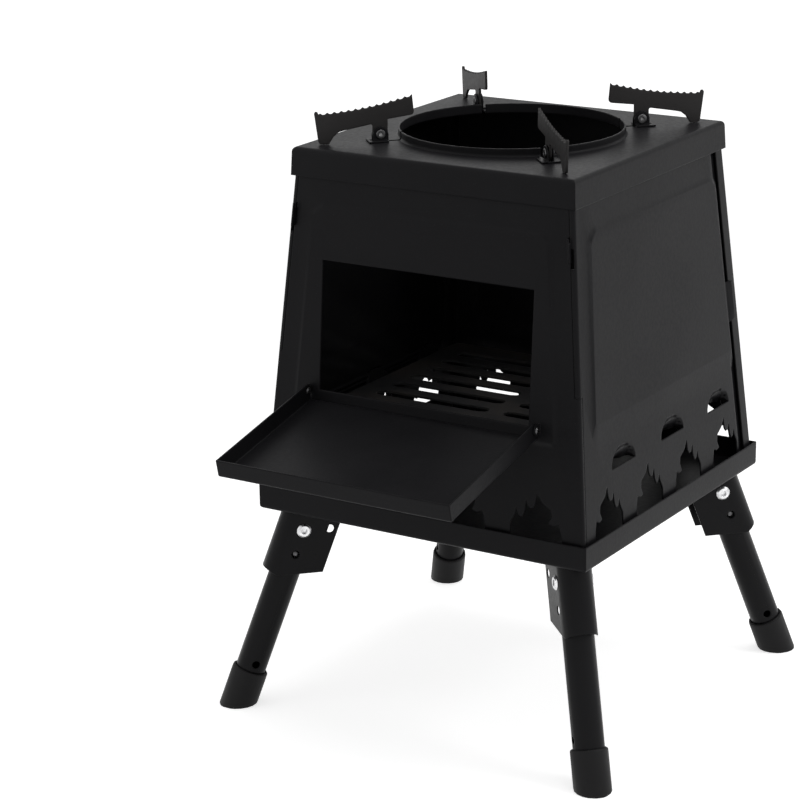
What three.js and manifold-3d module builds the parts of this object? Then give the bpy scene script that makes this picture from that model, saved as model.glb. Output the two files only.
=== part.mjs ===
// A tent wood stove: a tray on four folding legs, four leaning sheet walls, a lid with a round opening,
// four hinged pot supports and a tray-shaped door. Millimetres, +Z up, the door faces -Y.
import * as THREE from "three";
import { mergeVertices } from "three/addons/utils/BufferGeometryUtils.js";
import Module from "manifold-3d";

const wasm = await Module();
wasm.setup();

// ---------------------------------------------------------------- driving dimensions

const SHEET = 1.2; // body sheet
const SEAT_GAP = 0.3; // between pieces that rest on each other
const CUT_MARGIN = 1; // how far a cutter runs past what it cuts

// tray
const TRAY_HALF = 150;
const TRAY_UNDERSIDE_Z = 168;
const TRAY_RIM_HEIGHT = 20.4;
const TRAY_BEND_RADIUS = 2.8;

// walls
const WALL_CLEARANCE = 1.1; // between the tray rim and the foot of a wall
const WALL_LEAN = 0.0845; // how far a wall leans in for each millimetre of height
const WALL_RISE = 293;
const CORNER_RADIUS = 2.5;
const CORNER_RETURN = 4; // width of the bent edge that closes a front corner
const SEAM_GAP = 0.4;
const SEAM_STEP_RISE = 130.5; // above the foot, where the bent edge changes from one wall to the other
const REAR_FLANGE = 13; // width of the back wall's bent edges
const JOGGLE_DEPTH = 3;
const JOGGLE_RUN = 8;
const JOGGLE_GAP = 2.2; // dark line between a side wall and the back wall's bent edge
const JOGGLE_TAIL = 9; // how far a side wall runs on behind the bent edge

// raised pad of each wall
const PAD_INSET = 18.4;
const PAD_RISE = 1.6;
const PAD_BEVEL = 4;
const PAD_TOP_RISE = 254.5; // above the foot
const PAD_BOTTOM_RISE = 89;
const PAD_TOP_RADIUS = 13;
const PAD_BOTTOM_RADIUS = 8;

// flame cut-outs
const FLAME_COUNT = 4;
const FLAME_FIRST_INSET = 43.7; // from the wall's lower corner to the first flame's tip
const FLAME_LAST_INSET = 49.2; // from the last flame's tip to the other lower corner
const FLAME_WIDTH_SHARE = 0.34; // half a flame's width over the distance between two flames
const FLAME_HEIGHT = 52.9;

// louvres of the side walls
const LOUVRE_COUNT = 3;
const LOUVRE_FIRST_INSET = 61.5; // from the wall's lower corner to the middle of the first louvre
const LOUVRE_LAST_INSET = 68.5; // from the middle of the last louvre to the other lower corner
const LOUVRE_WIDTH_SHARE = 0.363; // half a louvre's width over the distance between two louvres
const LOUVRE_LIP_RISE = 64; // above the foot
const LOUVRE_HEIGHT = 16;
const LOUVRE_DEPTH = 11;
const LOUVRE_SOFTNESS = 1.7; // power by which a louvre runs out towards its top

// hooks and tabs that lock the walls together
const HOOK_FOOT_RISE = 232.5; // above the foot
const HOOK_HEIGHT = 14;
const HOOK_PRONG = 4; // upward point, above the hook
const HOOK_PRONG_WIDTH = 1.8;
const HOOK_REACH = 4; // in front of the wall
const HOOK_SLOT_DROP = 5; // the slot starts this far below the hook
const HOOK_SLOT_HEIGHT = 15;
const REAR_TAB_FOOT_RISE = 128.5;
const REAR_TAB_HEIGHT = 34;
const REAR_TAB_LAP = 3.5; // over the back wall's bent edge
const REAR_TAB_ROOT = 8; // length that lies flush in the side wall
const REAR_TAB_RAMP = 4;

// window and door
const WINDOW_SIDE_INSET = 52.7; // from the wall's lower corner to the window's side
const WINDOW_FOOT_RISE = 104.5; // above the foot of the wall
const WINDOW_HEIGHT = 104;
const DOOR_OVERLAP = 8.5; // of the door past the window's side
const DOOR_RIM_HEIGHT = 14.7;
const DOOR_BEND_RADIUS = 2;
const DOOR_REACH = 126.4; // from the hinge axis to the front rim
const DOOR_HEEL = 2.1; // from the hinge axis back to the floor's edge
const DOOR_RIM_ABOVE_AXIS = 5;
const DOOR_HINGE_RISE = 104; // above the foot of the wall
const DOOR_OPEN_SLOPE = 12.47; // degrees below level
const HINGE_EAR_RADIUS = 3.8;
const HINGE_EAR_GAP = 0.5; // between a door rim and the ear beside it
const PIN_RADIUS = 1.5;
const PIN_HEAD_RADIUS = 2.8;
const PIN_HEAD_THICKNESS = 1.2;
const PIN_CLEARANCE = 0.3;

// lid
const LID_CLEARANCE = 0.8; // between the walls and the skirt's lower edge
const LID_SKIRT_HEIGHT = 22.6;
const LID_FLARE = 1; // the skirt is this much wider at its lower edge
const LID_BEND_RADIUS = 3.5;
const COLLAR_INSET = 32.44; // from the top of the walls to the collar
const COLLAR_HEIGHT = 6.5;
const COLLAR_FILLET = 2;
const COLLAR_ROOT = 3; // width of the collar's foot, which lies inside the lid sheet
const COLLAR_ROOT_DEPTH = 0.1;
const SLOT_WIDTH = 3.4;
const SLOT_PAST_AXIS = 8.3; // from a support's pivot to the closed end of its slot

// pot supports
const SUPPORT_THICKNESS = 2;
const SUPPORT_AXIS_OFFSET = 16.7; // from the collar to the pivot
const SUPPORT_AXIS_RISE = 6; // above the lid
const SUPPORT_EYE_RADIUS = 6.1;
const SUPPORT_SCALLOPS = 13;
const SUPPORT_TEETH_INSET = 4.85; // from the outer edge to the last point
const SUPPORT_SCALLOP_DEPTH = 1.5;
const SUPPORT_INNER_REACH = 26; // from the pivot inwards to the first point
const SUPPORT_INNER_HEIGHT = 29.9; // of the first point above the pivot
const SUPPORT_TOP_FALL = 11.2; // of the toothed edge towards its outer end
const SUPPORT_TOP_SAG = 2.1;
const SUPPORT_HORN_START = 1.5; // from the last point to the horn
const SUPPORT_HORN_HEIGHT = 1.8;
const SUPPORT_OUTER_REACH = 52.3;
const SUPPORT_OUTER_TAPER = 2.5; // of the outer edge, down to the foot's round
const SUPPORT_ARM_DEPTH = 16.2; // of the inner end
const SUPPORT_ARM_BULGE = 1.3; // of the inner end past the first point
const SUPPORT_ARM_ROUND = 3.2;
const SUPPORT_ARM_FALL = 2.2; // of the arm's lower edge towards the stem
const SUPPORT_ARCH_RISE = 8; // of the arch above the pivot
const SUPPORT_ARCH_FALL = 3.6; // of the arch, up to its outer curve
const SUPPORT_ARCH_CURVE = 12.5; // run of the arch's outer curve
const SUPPORT_ARCH_ROUND = 1.6; // between the arch and the stem
const SUPPORT_FOOT_START = 41;
const SUPPORT_FOOT_END = 47.2;
const SUPPORT_FOOT_ROUND = 5;
const BRACKET_SHEET = 1;
const BRACKET_EAR_RADIUS = 6.3;
const BRACKET_BASE_HALF_WIDTH = 8;
const BRACKET_BASE_END = 10; // from the pivot outwards
const RIVET_BORE_RADIUS = 1.6;
const RIVET_RADIUS = 2.6;
const RIVET_HEAD_RADIUS = 3.9;
const RIVET_HEAD_THICKNESS = 0.9;
const RIVET_CLEARANCE = 0.3;

// grate
const GRATE_THICKNESS = 2;
const GRATE_INSET = 8.5; // from the walls' outer face to the grate's edge
const GRATE_CORNER_RADIUS = 6;
const GRATE_SLOT_ROWS = 9;
const GRATE_SLOT_PITCH = 26;
const GRATE_SLOT_WIDTH = 12;
const GRATE_SLOT_LENGTH = 108;
const GRATE_SLOT_COLUMN = 61; // from the middle to the middle of a column of slots

// legs
const LEG_PIVOT_INSET = 33.63; // from the tray's corner to the pivot, along the diagonal
const LEG_PIVOT_Z = 150;
const LEG_LEAN = 20.56; // degrees from upright
const TUBE_RADIUS = 12.5;
const TUBE_WALL = 1.2;
const SOCKET_SHEET = 1;
const SOCKET_CLEARANCE = 0.3;
const SOCKET_CHEEK_REACH = 26.7; // from the leg's axis inwards
const SOCKET_BACK_OFFSET = 5.4; // from the leg's axis outwards to the middle of the rounded back
const SOCKET_BOTTOM_Z = 113;
const SOCKET_LEVEL_EDGE = 34.6; // length of the lower edge, from the cheeks' inner corner outwards
const SOCKET_CHAMFER_SLOPE = 0.63; // rise of the lower edge past its level length
const LOCK_RADIUS = 21.3; // from the pivot to the lock holes
const LOCK_HOLE_RADIUS = 3.5;
const LEG_RIVET_RADIUS = 3.9;
const LEG_RIVET_HEAD_RADIUS = 6.2;
const LEG_RIVET_HEAD_THICKNESS = 1.7;
const LEG_RIVET_BORE_RADIUS = 2.4;
const LEG_RIVET_BORE_DEPTH = 3;
const FOOT_RADIUS = 14.9;
const FOOT_TOP_Z = 30;
const FOOT_SOLE = 3.4; // least thickness under the tube
const FOOT_CHAMFER = 1;
const FOOT_CLEARANCE = 0.3;
const DRAIN_HOLE_RADIUS = 3.3;
const DRAIN_HOLE_ABOVE_FOOT = 7;
const BUTTON_RADIUS = 3.2;
const BUTTON_DOME = 2;
const BUTTON_FLANGE_RADIUS = 4.8;
const BUTTON_FLANGE_THICKNESS = 1;
const BUTTON_GAP = 0.2; // between the button and the cheek in front of it

// ---------------------------------------------------------------- derived dimensions

const TRAY_FLOOR_Z = TRAY_UNDERSIDE_Z + SHEET;
const TRAY_RIM_Z = TRAY_UNDERSIDE_Z + TRAY_RIM_HEIGHT;
const FOOT_Z = TRAY_FLOOR_Z + SEAT_GAP; // foot of the walls
const WALL_TOP_Z = FOOT_Z + WALL_RISE;
const WALL_FOOT_HALF = TRAY_HALF - SHEET - WALL_CLEARANCE;
const wallHalf = (z) => WALL_FOOT_HALF - WALL_LEAN * (z - FOOT_Z);

/** The distance between the members of a row along a wall's foot, which keeps these insets at its ends. */
const rowPitch = (firstInset, lastInset, count) =>
  (2 * WALL_FOOT_HALF - firstInset - lastInset) / (count - 1);
const FLAME_PITCH = rowPitch(FLAME_FIRST_INSET, FLAME_LAST_INSET, FLAME_COUNT);
const FLAME_FIRST = WALL_FOOT_HALF - FLAME_FIRST_INSET;
const FLAME_HALF_WIDTH = FLAME_WIDTH_SHARE * FLAME_PITCH;
const LOUVRE_PITCH = rowPitch(LOUVRE_FIRST_INSET, LOUVRE_LAST_INSET, LOUVRE_COUNT);
const LOUVRE_FIRST = WALL_FOOT_HALF - LOUVRE_FIRST_INSET;
const LOUVRE_HALF_WIDTH = LOUVRE_WIDTH_SHARE * LOUVRE_PITCH;
const WINDOW_HALF_WIDTH = WALL_FOOT_HALF - WINDOW_SIDE_INSET;

const SEAM_STEP_Z = FOOT_Z + SEAM_STEP_RISE;
const LOUVRE_LIP_Z = FOOT_Z + LOUVRE_LIP_RISE;
const HOOK_FOOT_Z = FOOT_Z + HOOK_FOOT_RISE;
const REAR_TAB_FOOT_Z = FOOT_Z + REAR_TAB_FOOT_RISE;
const WINDOW_FOOT_Z = FOOT_Z + WINDOW_FOOT_RISE;

const DOOR_HALF_WIDTH = WINDOW_HALF_WIDTH + DOOR_OVERLAP;
const DOOR_AXIS_Z = FOOT_Z + DOOR_HINGE_RISE;
const DOOR_AXIS_Y = -(wallHalf(DOOR_AXIS_Z) + PAD_RISE + DOOR_RIM_ABOVE_AXIS + SEAT_GAP);
const DOOR_FLOOR = DOOR_RIM_ABOVE_AXIS - DOOR_RIM_HEIGHT; // underside, below the hinge axis
const HINGE_EAR_INNER = DOOR_HALF_WIDTH + HINGE_EAR_GAP;

const LID_INSIDE_Z = WALL_TOP_Z + SEAT_GAP;
const LID_TOP_Z = LID_INSIDE_Z + SHEET;
const LID_SKIRT_Z = LID_TOP_Z - LID_SKIRT_HEIGHT;
const LID_SKIRT_HALF = wallHalf(LID_SKIRT_Z) + LID_CLEARANCE + SHEET;
const LID_TOP_HALF = LID_SKIRT_HALF - LID_FLARE;
const COLLAR_RADIUS = wallHalf(WALL_TOP_Z) - COLLAR_INSET;
const COLLAR_BORE = COLLAR_RADIUS - SHEET;
const SUPPORT_AXIS_RADIUS = COLLAR_RADIUS + SUPPORT_AXIS_OFFSET; // from the middle of the opening
const SLOT_END_RADIUS = SUPPORT_AXIS_RADIUS + SLOT_PAST_AXIS;
const SUPPORT_TEETH_LENGTH = SUPPORT_INNER_REACH + SUPPORT_OUTER_REACH - SUPPORT_TEETH_INSET;
const SUPPORT_SCALLOP_PITCH = SUPPORT_TEETH_LENGTH / SUPPORT_SCALLOPS;
const SUPPORT_AXIS_Z = LID_TOP_Z + SUPPORT_AXIS_RISE;

const LEG_PIVOT_RADIUS = TRAY_HALF * Math.SQRT2 - LEG_PIVOT_INSET; // from the stove's upright axis
const LEG_LEAN_RADIANS = THREE.MathUtils.degToRad(LEG_LEAN);
const LEG_FOLD_RADIANS = Math.PI / 2 + LEG_LEAN_RADIANS; // from standing to lying level under the tray
const SOCKET_INNER_RADIUS = TUBE_RADIUS + SOCKET_CLEARANCE;
const SOCKET_OUTER_RADIUS = SOCKET_INNER_RADIUS + SOCKET_SHEET;
const alongLeg = (z, offset) =>
  (z - LEG_PIVOT_Z - offset * Math.sin(LEG_LEAN_RADIANS)) / Math.cos(LEG_LEAN_RADIANS);
const FOOT_TOP = alongLeg(FOOT_TOP_Z, 0);
const FOOT_BORE_RADIUS = TUBE_RADIUS + FOOT_CLEARANCE;
const FOOT_BORE_END = alongLeg(0, -FOOT_BORE_RADIUS) + FOOT_SOLE;
const TUBE_END = FOOT_BORE_END + SEAT_GAP;

// ---------------------------------------------------------------- solids

const ARC_STEPS = 4;
const ROUND_STEPS = 18;

/** A closed manifold solid from a three.js geometry, without the triangles that a pole flattens. */
function solidOf(geometry) {
  geometry.deleteAttribute("normal");
  geometry.deleteAttribute("uv");
  const merged = mergeVertices(geometry, 1e-4);
  const index = merged.index.array;
  const triangles = [];
  for (let i = 0; i < index.length; i += 3) {
    const [a, b, c] = [index[i], index[i + 1], index[i + 2]];
    if (a !== b && b !== c && c !== a) triangles.push(a, b, c);
  }
  const mesh = new wasm.Mesh({
    numProp: 3,
    vertProperties: merged.attributes.position.array,
    triVerts: new Uint32Array(triangles),
  });
  return new wasm.Manifold(mesh);
}

/** The three.js geometry of a manifold solid. */
function geometryOf(solid) {
  const mesh = solid.getMesh();
  const geometry = new THREE.BufferGeometry();
  geometry.setAttribute("position", new THREE.BufferAttribute(mesh.vertProperties, 3));
  geometry.setIndex(new THREE.BufferAttribute(mesh.triVerts, 1));
  geometry.computeVertexNormals();
  return geometry;
}

const join = (...solids) => solids.reduce((all, next) => all.add(next));
const cut = (solid, ...cutters) => cutters.reduce((left, cutter) => left.subtract(cutter), solid);

/**
 * A solid through two or more outlines with the same number of points. Each ring is { level, points } with
 * points as [a, b] pairs, counter-clockwise, and place(a, b, level) gives the point in space.
 */
function loft(rings, place = (a, b, level) => [a, b, level]) {
  const count = rings[0].points.length;
  const positions = rings.flatMap(({ level, points }) => points.flatMap(([a, b]) => place(a, b, level)));
  const index = [];
  for (let ring = 0; ring < rings.length - 1; ring++) {
    for (let i = 0; i < count; i++) {
      const here = ring * count + i;
      const next = ring * count + ((i + 1) % count);
      index.push(here, next, next + count, here, next + count, here + count);
    }
  }
  const contour = (ring) => ring.points.map(([a, b]) => new THREE.Vector2(a, b));
  const last = (rings.length - 1) * count;
  for (const [a, b, c] of THREE.ShapeUtils.triangulateShape(contour(rings[0]), [])) index.push(a, c, b);
  for (const [a, b, c] of THREE.ShapeUtils.triangulateShape(contour(rings.at(-1)), [])) {
    index.push(last + a, last + b, last + c);
  }
  const geometry = new THREE.BufferGeometry();
  geometry.setAttribute("position", new THREE.Float32BufferAttribute(positions, 3));
  geometry.setIndex(index);
  return solidOf(geometry);
}

/** A solid with rectangular sections: each level is [x0, x1, y0, y1, z]. */
const rectangularLoft = (levels) =>
  loft(
    levels.map(([x0, x1, y0, y1, z]) => ({
      level: z,
      points: [
        [x0, y0],
        [x1, y0],
        [x1, y1],
        [x0, y1],
      ],
    })),
  );

const block = (x0, x1, y0, y1, z0, z1) =>
  rectangularLoft([
    [x0, x1, y0, y1, z0],
    [x0, x1, y0, y1, z1],
  ]);

/** Steps of a quarter round: [how far in from the side, how far up from the end]. */
const quarterRound = (radius) =>
  Array.from({ length: ARC_STEPS + 1 }, (_, i) => {
    const angle = (i / ARC_STEPS) * (Math.PI / 2);
    return [radius * (1 - Math.sin(angle)), radius * (1 - Math.cos(angle))];
  });

/** A profile of [radius, height] pairs revolved about Z. */
function revolve(profile, steps = ROUND_STEPS) {
  const points = profile.map(([radius, height]) => new THREE.Vector2(radius, height));
  return solidOf(new THREE.LatheGeometry(points, steps).rotateX(Math.PI / 2));
}

const rod = (radius, z0, z1, steps) =>
  revolve(
    [
      [0, z0],
      [radius, z0],
      [radius, z1],
      [0, z1],
    ],
    steps,
  );

/** A solid moved by a three.js matrix. */
const moved = (solid, matrix) => solid.transform(matrix.toArray());
const shifted = (solid, x, y, z) => moved(solid, new THREE.Matrix4().makeTranslation(x, y, z));
const alongX = (solid) => moved(solid, new THREE.Matrix4().makeRotationY(Math.PI / 2));
const alongY = (solid) => moved(solid, new THREE.Matrix4().makeRotationX(-Math.PI / 2));

/** A round hole for a shape, as two half circles. */
function roundHole(x, y, radius) {
  const hole = new THREE.Path();
  hole.absarc(x, y, radius, 0, Math.PI);
  hole.absarc(x, y, radius, Math.PI, 2 * Math.PI);
  return hole;
}

/** A shape drawn in X and Z, given the thickness in Y that runs from y0 to y1. */
function uprightPlate(shape, y0, y1, curveSegments = 3) {
  const geometry = new THREE.ExtrudeGeometry(shape, { depth: y1 - y0, bevelEnabled: false, curveSegments });
  return solidOf(geometry.rotateX(Math.PI / 2).translate(0, y1, 0));
}

/** A shape drawn in Y and Z, given the thickness in X that runs from x0 to x1. */
function sidePlate(shape, x0, x1, curveSegments = 4) {
  const geometry = new THREE.ExtrudeGeometry(shape, { depth: x1 - x0, bevelEnabled: false, curveSegments });
  const turn = new THREE.Matrix4().set(0, 0, 1, x0, 1, 0, 0, 0, 0, 1, 0, 0, 0, 0, 0, 1);
  return solidOf(geometry.applyMatrix4(turn));
}

// ---------------------------------------------------------------- materials

const powderCoat = (color, roughness) => new THREE.MeshStandardMaterial({ color, roughness, metalness: 0.2 });
const BODY_COAT = powderCoat(0x1b1b1d, 0.45);
const LID_COAT = powderCoat(0x202022, 0.4);
const LEG_COAT = powderCoat(0x1e1e20, 0.5);
const DOOR_COAT = powderCoat(0x1d1d1f, 0.4);
const SUPPORT_COAT = powderCoat(0x232323, 0.5);
const GRATE_COAT = powderCoat(0x191919, 0.7);
const FOOT_RUBBER = new THREE.MeshStandardMaterial({ color: 0x1c1c1d, roughness: 0.75, metalness: 0 });
const RIVET_STEEL = new THREE.MeshStandardMaterial({ color: 0xb8b8b8, roughness: 0.3, metalness: 1 });

/** Adds one named sub-part to its group. */
function addPart(parent, name, solid, material) {
  const mesh = new THREE.Mesh(geometryOf(solid), material.clone());
  mesh.name = name;
  parent.add(mesh);
}

const stove = new THREE.Group();

// ---------------------------------------------------------------- tray

function makeTray() {
  const half = (inset) => [inset - TRAY_HALF, TRAY_HALF - inset, inset - TRAY_HALF, TRAY_HALF - inset];
  const outside = quarterRound(TRAY_BEND_RADIUS).map(([inset, rise]) => [
    ...half(inset),
    TRAY_UNDERSIDE_Z + rise,
  ]);
  const inside = quarterRound(TRAY_BEND_RADIUS - SHEET).map(([inset, rise]) => [
    ...half(SHEET + inset),
    TRAY_FLOOR_Z + rise,
  ]);
  outside.push([...half(0), TRAY_RIM_Z]);
  inside.push([...half(SHEET), TRAY_RIM_Z + CUT_MARGIN]);
  return cut(rectangularLoft(outside), rectangularLoft(inside));
}

addPart(stove, "tray", makeTray(), BODY_COAT);

// ---------------------------------------------------------------- walls

// Each wall is made in its own frame, as a front wall: u runs to the right as seen from outside, its face is
// at y = -wallHalf(z), and the mesh is then turned about Z to its side of the stove.

/** The outline of a bent sheet whose outer face follows path, with the sheet on the left of the path. */
function sheetOutline(path) {
  const inner = path.map(([x, y], i) => {
    const before = path[Math.max(i - 1, 0)];
    const after = path[Math.min(i + 1, path.length - 1)];
    const toward = (from, to) => new THREE.Vector2(to[0] - from[0], to[1] - from[1]).normalize();
    const arriving = i > 0 ? toward(before, path[i]) : toward(path[i], after);
    const leaving = i < path.length - 1 ? toward(path[i], after) : arriving;
    const middle = arriving.clone().add(leaving).normalize();
    const reach = SHEET / middle.dot(arriving);
    return [x - middle.y * reach, y + middle.x * reach];
  });
  return [...path, ...inner.reverse()];
}

/** A bent sheet that runs up the wall from z0 to z1, with the path of its outer face at a height. */
const bentSheet = (pathAt, z0, z1) =>
  loft([z0, z1].map((z) => ({ level: z, points: sheetOutline(pathAt(wallHalf(z))) })));

/** Points round a front or rear corner, from the left neighbour's plane into the wall's own plane. */
const leftCorner = (half) =>
  quarterRound(CORNER_RADIUS)
    .map(([inset, rise]) => [rise - half, inset - half])
    .reverse()
    .map(([x, y]) => [y, x]);

const mirrored = (path) => path.map(([x, y]) => [-x, y]).reverse();

/** A wall whose both edges are bent back over the neighbours' planes by a return. */
const returnedPath = (half, width) => {
  const left = [[-half, width - half], ...leftCorner(half)];
  return [...left, ...mirrored(left)];
};

/** A side wall: bent round the front corner, on the left here, and joggled in at its rear edge. */
function sidePath(half) {
  const joggleEnd = half - REAR_FLANGE - JOGGLE_GAP;
  const joggle = Array.from({ length: ARC_STEPS + 1 }, (_, i) => {
    const share = i / ARC_STEPS;
    const eased = (1 - Math.cos(Math.PI * share)) / 2;
    return [joggleEnd - JOGGLE_RUN * (1 - share), JOGGLE_DEPTH * eased - half];
  });
  const tail = [joggleEnd + JOGGLE_TAIL, JOGGLE_DEPTH - half];
  return [[-half, CORNER_RETURN - half], ...leftCorner(half), ...joggle, tail];
}

/** A slab that follows the wall's lean, from u0(half) to u1(half) across and y0 to y1 from its face. */
const leaningBlock = (u0, u1, y0, y1, z0, z1) =>
  rectangularLoft([z0, z1].map((z) => {
    const half = wallHalf(z);
    return [...[u0(half), u1(half)].sort((a, b) => a - b), y0 - half, y1 - half, z];
  }));

/** The pad's outline at one stage of its bevel, in u and z. */
function padOutline(inset) {
  const corner = (radius, z, up) =>
    Array.from({ length: ARC_STEPS + 1 }, (_, i) => {
      const angle = (i / ARC_STEPS) * (Math.PI / 2);
      const height = z + up * (radius * Math.sin(angle));
      return [wallHalf(height) - PAD_INSET - inset - radius * (1 - Math.cos(angle)), height];
    });
  const topRadius = PAD_TOP_RADIUS - inset;
  const bottomRadius = PAD_BOTTOM_RADIUS - inset;
  const top = corner(topRadius, FOOT_Z + PAD_TOP_RISE - inset - topRadius, 1);
  const bottom = corner(bottomRadius, FOOT_Z + PAD_BOTTOM_RISE + inset + bottomRadius, -1).reverse();
  const right = [...bottom, ...top];
  return [...right, ...mirrored(right)];
}

/** The pad as a block that stands out of the wall, from just behind the face moved back by sink. */
function padBlock(sink) {
  const buried = SHEET / 2;
  const stage = (rise) => ({
    level: rise - sink,
    points: padOutline((PAD_BEVEL * rise) / PAD_RISE),
  });
  return loft([stage(-buried), stage(PAD_RISE)], (u, z, out) => [u, -(wallHalf(z) + out), z]);
}

const FLAME_CURVE_STEPS = 2;

// A flame's outline, as shares of half its width and of its height: its first edge, then the control point
// and the end of each curve, over the long tongue, two shorter ones and a low ear.
const FLAME_EDGE = [-1, 0.365];
const FLAME_CURVES = [
  [-0.96, 0.51, -0.87, 0.595],
  [-0.7, 0.52, -0.48, 0.577],
  [-0.67, 0.7, -0.54, 0.792],
  [-0.13, 0.85, 0, 1],
  [0.02, 0.785, 0.15, 0.767],
  [0.33, 0.737, 0.4, 0.877],
  [0.41, 0.643, 0.54, 0.614],
  [0.7, 0.605, 0.76, 0.735],
  [0.78, 0.624, 0.88, 0.577],
  [1.02, 0.51, 0.96, 0.406],
];

/** The outline of a flame, with its tip at a distance from the wall's middle and its ear where ear points. */
function flameShape(tip, ear) {
  const at = (across, up) => [tip - ear * across * FLAME_HALF_WIDTH, FOOT_Z + up * FLAME_HEIGHT];
  const below = -CUT_MARGIN / FLAME_HEIGHT;
  const shape = new THREE.Shape();
  shape.moveTo(...at(FLAME_EDGE[0], below));
  shape.lineTo(...at(...FLAME_EDGE));
  for (const [controlAcross, controlUp, across, up] of FLAME_CURVES) {
    shape.quadraticCurveTo(...at(controlAcross, controlUp), ...at(across, up));
  }
  shape.lineTo(...at(FLAME_CURVES.at(-1)[2], below));
  shape.closePath();
  return shape;
}

/** A cutter with a flame's outline that goes right through the wall. */
function flameCutter(tip, ear) {
  const depth = WALL_LEAN * FLAME_HEIGHT + SHEET + CUT_MARGIN;
  const shape = flameShape(tip, ear);
  return uprightPlate(shape, -WALL_FOOT_HALF - depth, depth - WALL_FOOT_HALF, FLAME_CURVE_STEPS);
}

/** The row of flames along the foot of a wall. */
const flames = (ear) =>
  Array.from({ length: FLAME_COUNT }, (_, i) =>
    flameCutter(ear * (FLAME_FIRST - i * FLAME_PITCH), ear),
  );

/** Adds the raised pad to a wall: the sheet keeps its thickness over it. */
const withPad = (wall) => cut(join(wall, padBlock(0)), padBlock(SHEET));

const LOUVRE_STEPS = 8;
const LOUVRE_CURVE_STEPS = 5;
const LOUVRE_TOP_SHARE = 0.95; // of its height, where a louvre runs out into the wall's face

/** How much of its depth a louvre has left at a share of its height, and the share of height for a depth. */
const scoopDepth = (height) => (1 - height) ** LOUVRE_SOFTNESS;
const scoopHeight = (depth) => 1 - depth ** (1 / LOUVRE_SOFTNESS);

/** A pressed scoop behind the wall's face, deepest at its lip, with a short skirt below the lip. */
function scoop(u, grow, skirt) {
  const height = LOUVRE_HEIGHT + grow;
  const section = (share, z) => {
    const halfWidth = (LOUVRE_HALF_WIDTH + grow) * Math.sqrt(1 - share ** 2);
    const depth = (LOUVRE_DEPTH + grow) * scoopDepth(share);
    const inner = Array.from({ length: LOUVRE_STEPS + 1 }, (_, i) => {
      const angle = Math.PI * (i / LOUVRE_STEPS - 0.5);
      return [(-2 * halfWidth * angle) / Math.PI, depth * Math.cos(angle)];
    });
    const outer = [
      [-halfWidth, -CUT_MARGIN],
      [halfWidth, -CUT_MARGIN],
    ];
    return { level: z, points: [...inner, ...outer] };
  };
  const sections = Array.from({ length: LOUVRE_CURVE_STEPS + 1 }, (_, i) => {
    const share = (LOUVRE_TOP_SHARE * i) / LOUVRE_CURVE_STEPS;
    return section(share, LOUVRE_LIP_Z + share * height);
  });
  const lip = section(0, LOUVRE_LIP_Z - skirt);
  const all = skirt > 0 ? [lip, ...sections] : sections;
  return loft(all, (across, depth, z) => [u + across, depth - wallHalf(z), z]);
}

/** Presses the louvres into a side wall: half domes, open along their lower edge. */
function withLouvres(wall, ear) {
  let pressed = wall;
  const wide = LOUVRE_HALF_WIDTH + 2 * CUT_MARGIN;
  for (let i = 0; i < LOUVRE_COUNT; i++) {
    const u = ear * (LOUVRE_FIRST - i * LOUVRE_PITCH);
    const behindFace = leaningBlock(
      () => u - wide,
      () => u + wide,
      SHEET / 4,
      2 * LOUVRE_DEPTH,
      LOUVRE_LIP_Z - 2 * CUT_MARGIN,
      LOUVRE_LIP_Z + LOUVRE_HEIGHT + 2 * CUT_MARGIN,
    );
    const dome = scoop(u, SHEET, 0).intersect(behindFace);
    pressed = cut(join(pressed, dome), scoop(u, 0, SEAT_GAP));
  }
  return pressed;
}

/** The strip that a wall loses at a front corner, where its neighbour's bent edge lies. */
const cornerStrip = (side, width, z0, z1) =>
  leaningBlock(
    (half) => side * (half - width),
    (half) => side * (half + CUT_MARGIN),
    -CUT_MARGIN,
    CORNER_RETURN + 2 * CUT_MARGIN,
    z0,
    z1,
  );

/** One ear beside the window that carries a hinge pin. */
function hingeEar(side) {
  const root = PAD_RISE + DOOR_RIM_ABOVE_AXIS + SEAT_GAP;
  const ear = new THREE.Shape();
  const back = DOOR_AXIS_Y + root - SHEET / 2;
  ear.moveTo(back, DOOR_AXIS_Z - HINGE_EAR_RADIUS);
  ear.lineTo(back, DOOR_AXIS_Z + HINGE_EAR_RADIUS);
  ear.lineTo(DOOR_AXIS_Y, DOOR_AXIS_Z + HINGE_EAR_RADIUS);
  ear.absarc(DOOR_AXIS_Y, DOOR_AXIS_Z, HINGE_EAR_RADIUS, Math.PI / 2, (3 * Math.PI) / 2);
  ear.holes.push(roundHole(DOOR_AXIS_Y, DOOR_AXIS_Z, PIN_RADIUS + PIN_CLEARANCE));
  const edges = [side * HINGE_EAR_INNER, side * (HINGE_EAR_INNER + SHEET)].sort((a, b) => a - b);
  return sidePlate(ear, ...edges);
}

function makeFrontWall(ear) {
  const sheet = bentSheet((half) => returnedPath(half, CORNER_RETURN), FOOT_Z, WALL_TOP_Z);
  const window = block(
    -WINDOW_HALF_WIDTH,
    WINDOW_HALF_WIDTH,
    -TRAY_HALF,
    PAD_RISE - wallHalf(WALL_TOP_Z),
    WINDOW_FOOT_Z,
    WINDOW_FOOT_Z + WINDOW_HEIGHT,
  );
  const cutters = [window, ...flames(ear)];
  for (const side of [-1, 1]) {
    const lap = CORNER_RETURN + SEAM_GAP;
    cutters.push(cornerStrip(side, lap, SEAM_STEP_Z, WALL_TOP_Z + CUT_MARGIN));
    const hookTop = HOOK_FOOT_Z + HOOK_HEIGHT + HOOK_PRONG;
    cutters.push(cornerStrip(side, lap + SHEET, HOOK_FOOT_Z - SEAT_GAP, hookTop + SEAT_GAP));
  }
  return join(cut(withPad(sheet), ...cutters), hingeEar(-1), hingeEar(1));
}

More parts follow.
